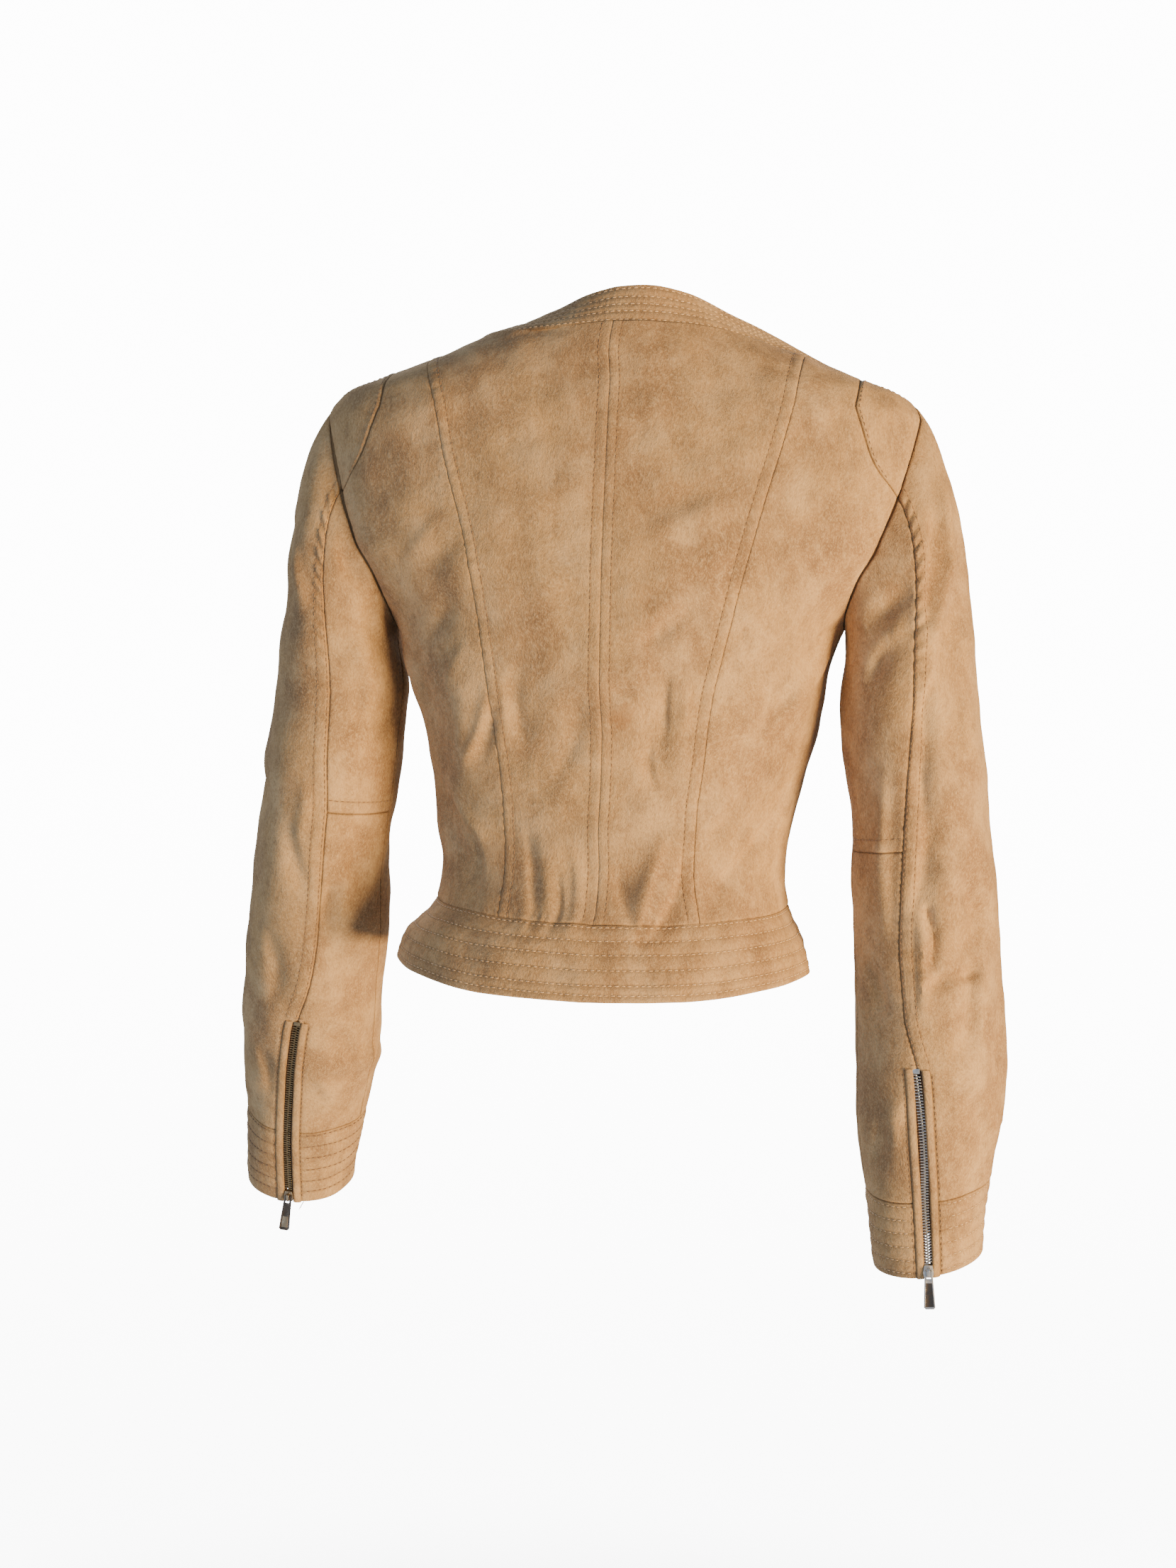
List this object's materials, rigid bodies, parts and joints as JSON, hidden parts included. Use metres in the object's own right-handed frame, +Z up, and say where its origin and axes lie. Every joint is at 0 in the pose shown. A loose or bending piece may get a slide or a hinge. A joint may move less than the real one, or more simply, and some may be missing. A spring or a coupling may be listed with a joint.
{
  "type": "jacket",
  "caption": "Short fitted suede jacket in its hollow worn form, with panelled back, stand neckband, zip front, banded waist and zipped cuffs.",
  "frame": {"origin": "middle of the neck opening, level with the nape's neck seam less 16 mm; the wearer's neck comes up through it", "axes": "+Z up, the front of the jacket faces -Y, the wearer's left is +X"},
  "size_m": [0.5627, 0.2547, 0.6816],
  "materials": {
    "suede": "napped camel-tan suede with cloudy mottling",
    "zip_tape": "woven polyester tape",
    "zip_teeth": "nickel-plated moulded teeth",
    "slider": "nickel-plated die casting, a little dulled"
  },
  "bodies": {
    "jacket": {"back_centre_left": "suede", "back_centre_right": "suede", "back_side_left": "suede", "back_side_right": "suede", "shoulder_patch_left": "suede", "shoulder_patch_right": "suede", "front_left": "suede", "front_right": "suede", "neckband": "suede", "waistband_back": "suede", "waistband_front_left": "suede", "waistband_front_right": "suede", "sleeve_upper_left": "suede", "sleeve_upper_right": "suede", "sleeve_under_top_left": "suede", "sleeve_under_top_right": "suede", "sleeve_under_low_left": "suede", "sleeve_under_low_right": "suede", "cuff_left": "suede", "cuff_right": "suede", "cuff_zip_left_tape_a": "zip_tape", "cuff_zip_left_tape_b": "zip_tape", "cuff_zip_right_tape_a": "zip_tape", "cuff_zip_right_tape_b": "zip_tape", "front_zip_tape_a": "zip_tape", "front_zip_tape_b": "zip_tape", "cuff_zip_left_chain": "zip_teeth", "cuff_zip_right_chain": "zip_teeth", "front_zip_chain": "zip_teeth", "front_zip_box": "zip_teeth", "cuff_slider_left": "slider", "cuff_slider_right": "slider", "front_slider": "slider"},
    "cuff_pull_left": {"cuff_pull_left": "slider"},
    "cuff_pull_right": {"cuff_pull_right": "slider"},
    "front_pull": {"front_pull": "slider"}
  },
  "joints": [
    {"name": "cuff_pull_left_hinge", "type": "hinge", "parent": "jacket", "child": "cuff_pull_left", "pos_m": [0.24823, -0.0798, -0.64148], "axis": [0.9945, 0.023, 0.1021], "range_deg": [-26, 140]},
    {"name": "cuff_pull_right_hinge", "type": "hinge", "parent": "jacket", "child": "cuff_pull_right", "pos_m": [-0.22544, 0.00843, -0.64564], "axis": [0.9979, 0.0025, -0.0646], "range_deg": [-11, 150]},
    {"name": "front_pull_hinge", "type": "hinge", "parent": "jacket", "child": "front_pull", "pos_m": [0.00001, -0.07225, -0.06843], "axis": [-1, -0.0036, 0.0021], "range_deg": [0, 150]}
  ]
}
